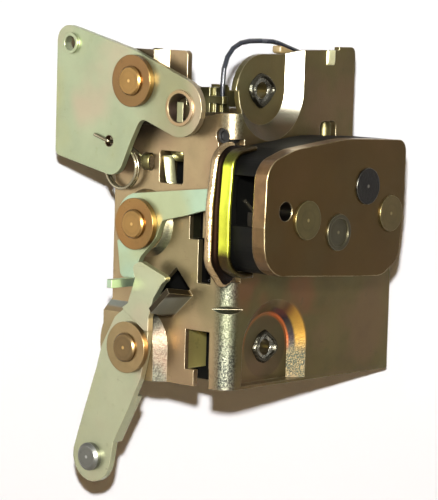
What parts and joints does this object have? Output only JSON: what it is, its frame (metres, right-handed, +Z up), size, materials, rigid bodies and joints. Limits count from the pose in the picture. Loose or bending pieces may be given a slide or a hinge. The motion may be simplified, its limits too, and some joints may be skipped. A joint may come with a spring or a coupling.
{
  "type": "car door lock",
  "caption": "L-bent bracket with a latch case and steel front plate on one wing and riveted levers on the other; the claw takes the striker and the levers release it.",
  "frame": {"origin": "mouth of the lower screw hole, on the outer face of its sunk pad in the right wing", "axes": "+Z up along the bracket's corner, +X along the right wing away from the corner, -Y out of the right wing towards the front plate, +Y along the left wing; the left wing's outer face looks along -X"},
  "size_m": [0.0932, 0.0923, 0.1432],
  "materials": {
    "yellow_zinc_sheet": "yellow zinc plated, satin, slightly iridescent",
    "collar_zinc": "bright yellow zinc plated",
    "black_moulding": "matt black nylon",
    "plate_steel": "dark worn zinc, light edges",
    "bright_pin": "satin riveted end",
    "black_pin": "black, speckled",
    "grey_pin": "grey satin",
    "pale_zinc_lever": "pale zinc plated, satin, slightly iridescent",
    "dark_arm": "dark grey satin",
    "bronze_rivet": "dark yellow zinc plated, worn",
    "bright_spring": "bright spring wire",
    "black_spring": "black oiled spring wire",
    "blue_black_wire": "blue-black",
    "beige_plastic": "beige plastic",
    "claw_steel": "hardened steel, satin"
  },
  "bodies": {
    "bracket_body": {"base_bracket": "yellow_zinc_sheet", "guide_collar": "collar_zinc", "latch_case": "black_moulding", "front_plate": "plate_steel", "claw_pin": "bright_pin", "pawl_pin": "black_pin", "lever_pin": "grey_pin", "case_rivet": "bright_pin", "lock_washer": "bronze_rivet", "lock_rivet": "bronze_rivet", "transfer_washer": "bronze_rivet", "transfer_rivet": "bronze_rivet", "handle_washer": "bronze_rivet", "handle_rivet": "bronze_rivet", "toggle_spring": "bright_spring", "return_spring": "black_spring", "claw_spring": "bright_spring", "pawl_spring": "bright_spring", "spring_seat": "yellow_zinc_sheet", "spring_cover": "black_moulding", "corner_plug": "black_moulding"},
    "lock_body": {"lock_lever": "pale_zinc_lever", "lock_inner_arm": "dark_arm", "link_wire": "blue_black_wire", "wire_clip": "beige_plastic"},
    "handle_body": {"handle_lever": "pale_zinc_lever", "rod_pin": "grey_pin"},
    "transfer_body": {"transfer_lever": "pale_zinc_lever"},
    "release_body": {"release_lever": "yellow_zinc_sheet"},
    "pawl_body": {"pawl": "claw_steel"},
    "claw_body": {"claw": "claw_steel"}
  },
  "joints": [
    {"name": "handle_turn", "type": "hinge", "parent": "bracket_body", "child": "handle_body", "pos_m": [-0.022, 0.0312, -0.0013], "axis": [-1, 0, 0], "range_deg": [0, 12], "stiffness_Nm_per_rad": 0.35, "springref_deg": -17.19},
    {"name": "transfer_turn", "type": "hinge", "parent": "bracket_body", "child": "transfer_body", "pos_m": [-0.022, 0.0303, 0.0371], "axis": [1, 0, 0], "range_deg": [0, 12]},
    {"name": "release_turn", "type": "hinge", "parent": "bracket_body", "child": "release_body", "pos_m": [0.0024, 0, 0.0377], "axis": [0, -1, 0], "range_deg": [0, 18], "deforming": ["return_spring"]},
    {"name": "pawl_turn", "type": "hinge", "parent": "bracket_body", "child": "pawl_body", "pos_m": [0.0158, -0.016, 0.0512], "axis": [0, 1, 0], "range_deg": [0, 12]},
    {"name": "lock_turn", "type": "hinge", "parent": "bracket_body", "child": "lock_body", "pos_m": [-0.022, 0.0317, 0.0811], "axis": [-1, 0, 0], "range_deg": [0, 20], "deforming": ["toggle_spring"]},
    {"name": "claw_turn", "type": "hinge", "parent": "bracket_body", "child": "claw_body", "pos_m": [-0.0125, -0.0166, 0.0421], "axis": [0, 1, 0], "range_deg": [0, 65], "stiffness_Nm_per_rad": 0.02, "springref_deg": -22.92}
  ],
  "couplings": [
    {"joint": "transfer_turn", "follows": "handle_turn", "ratio": 1},
    {"joint": "release_turn", "follows": "handle_turn", "ratio": 1.5},
    {"joint": "pawl_turn", "follows": "handle_turn", "ratio": 1}
  ]
}
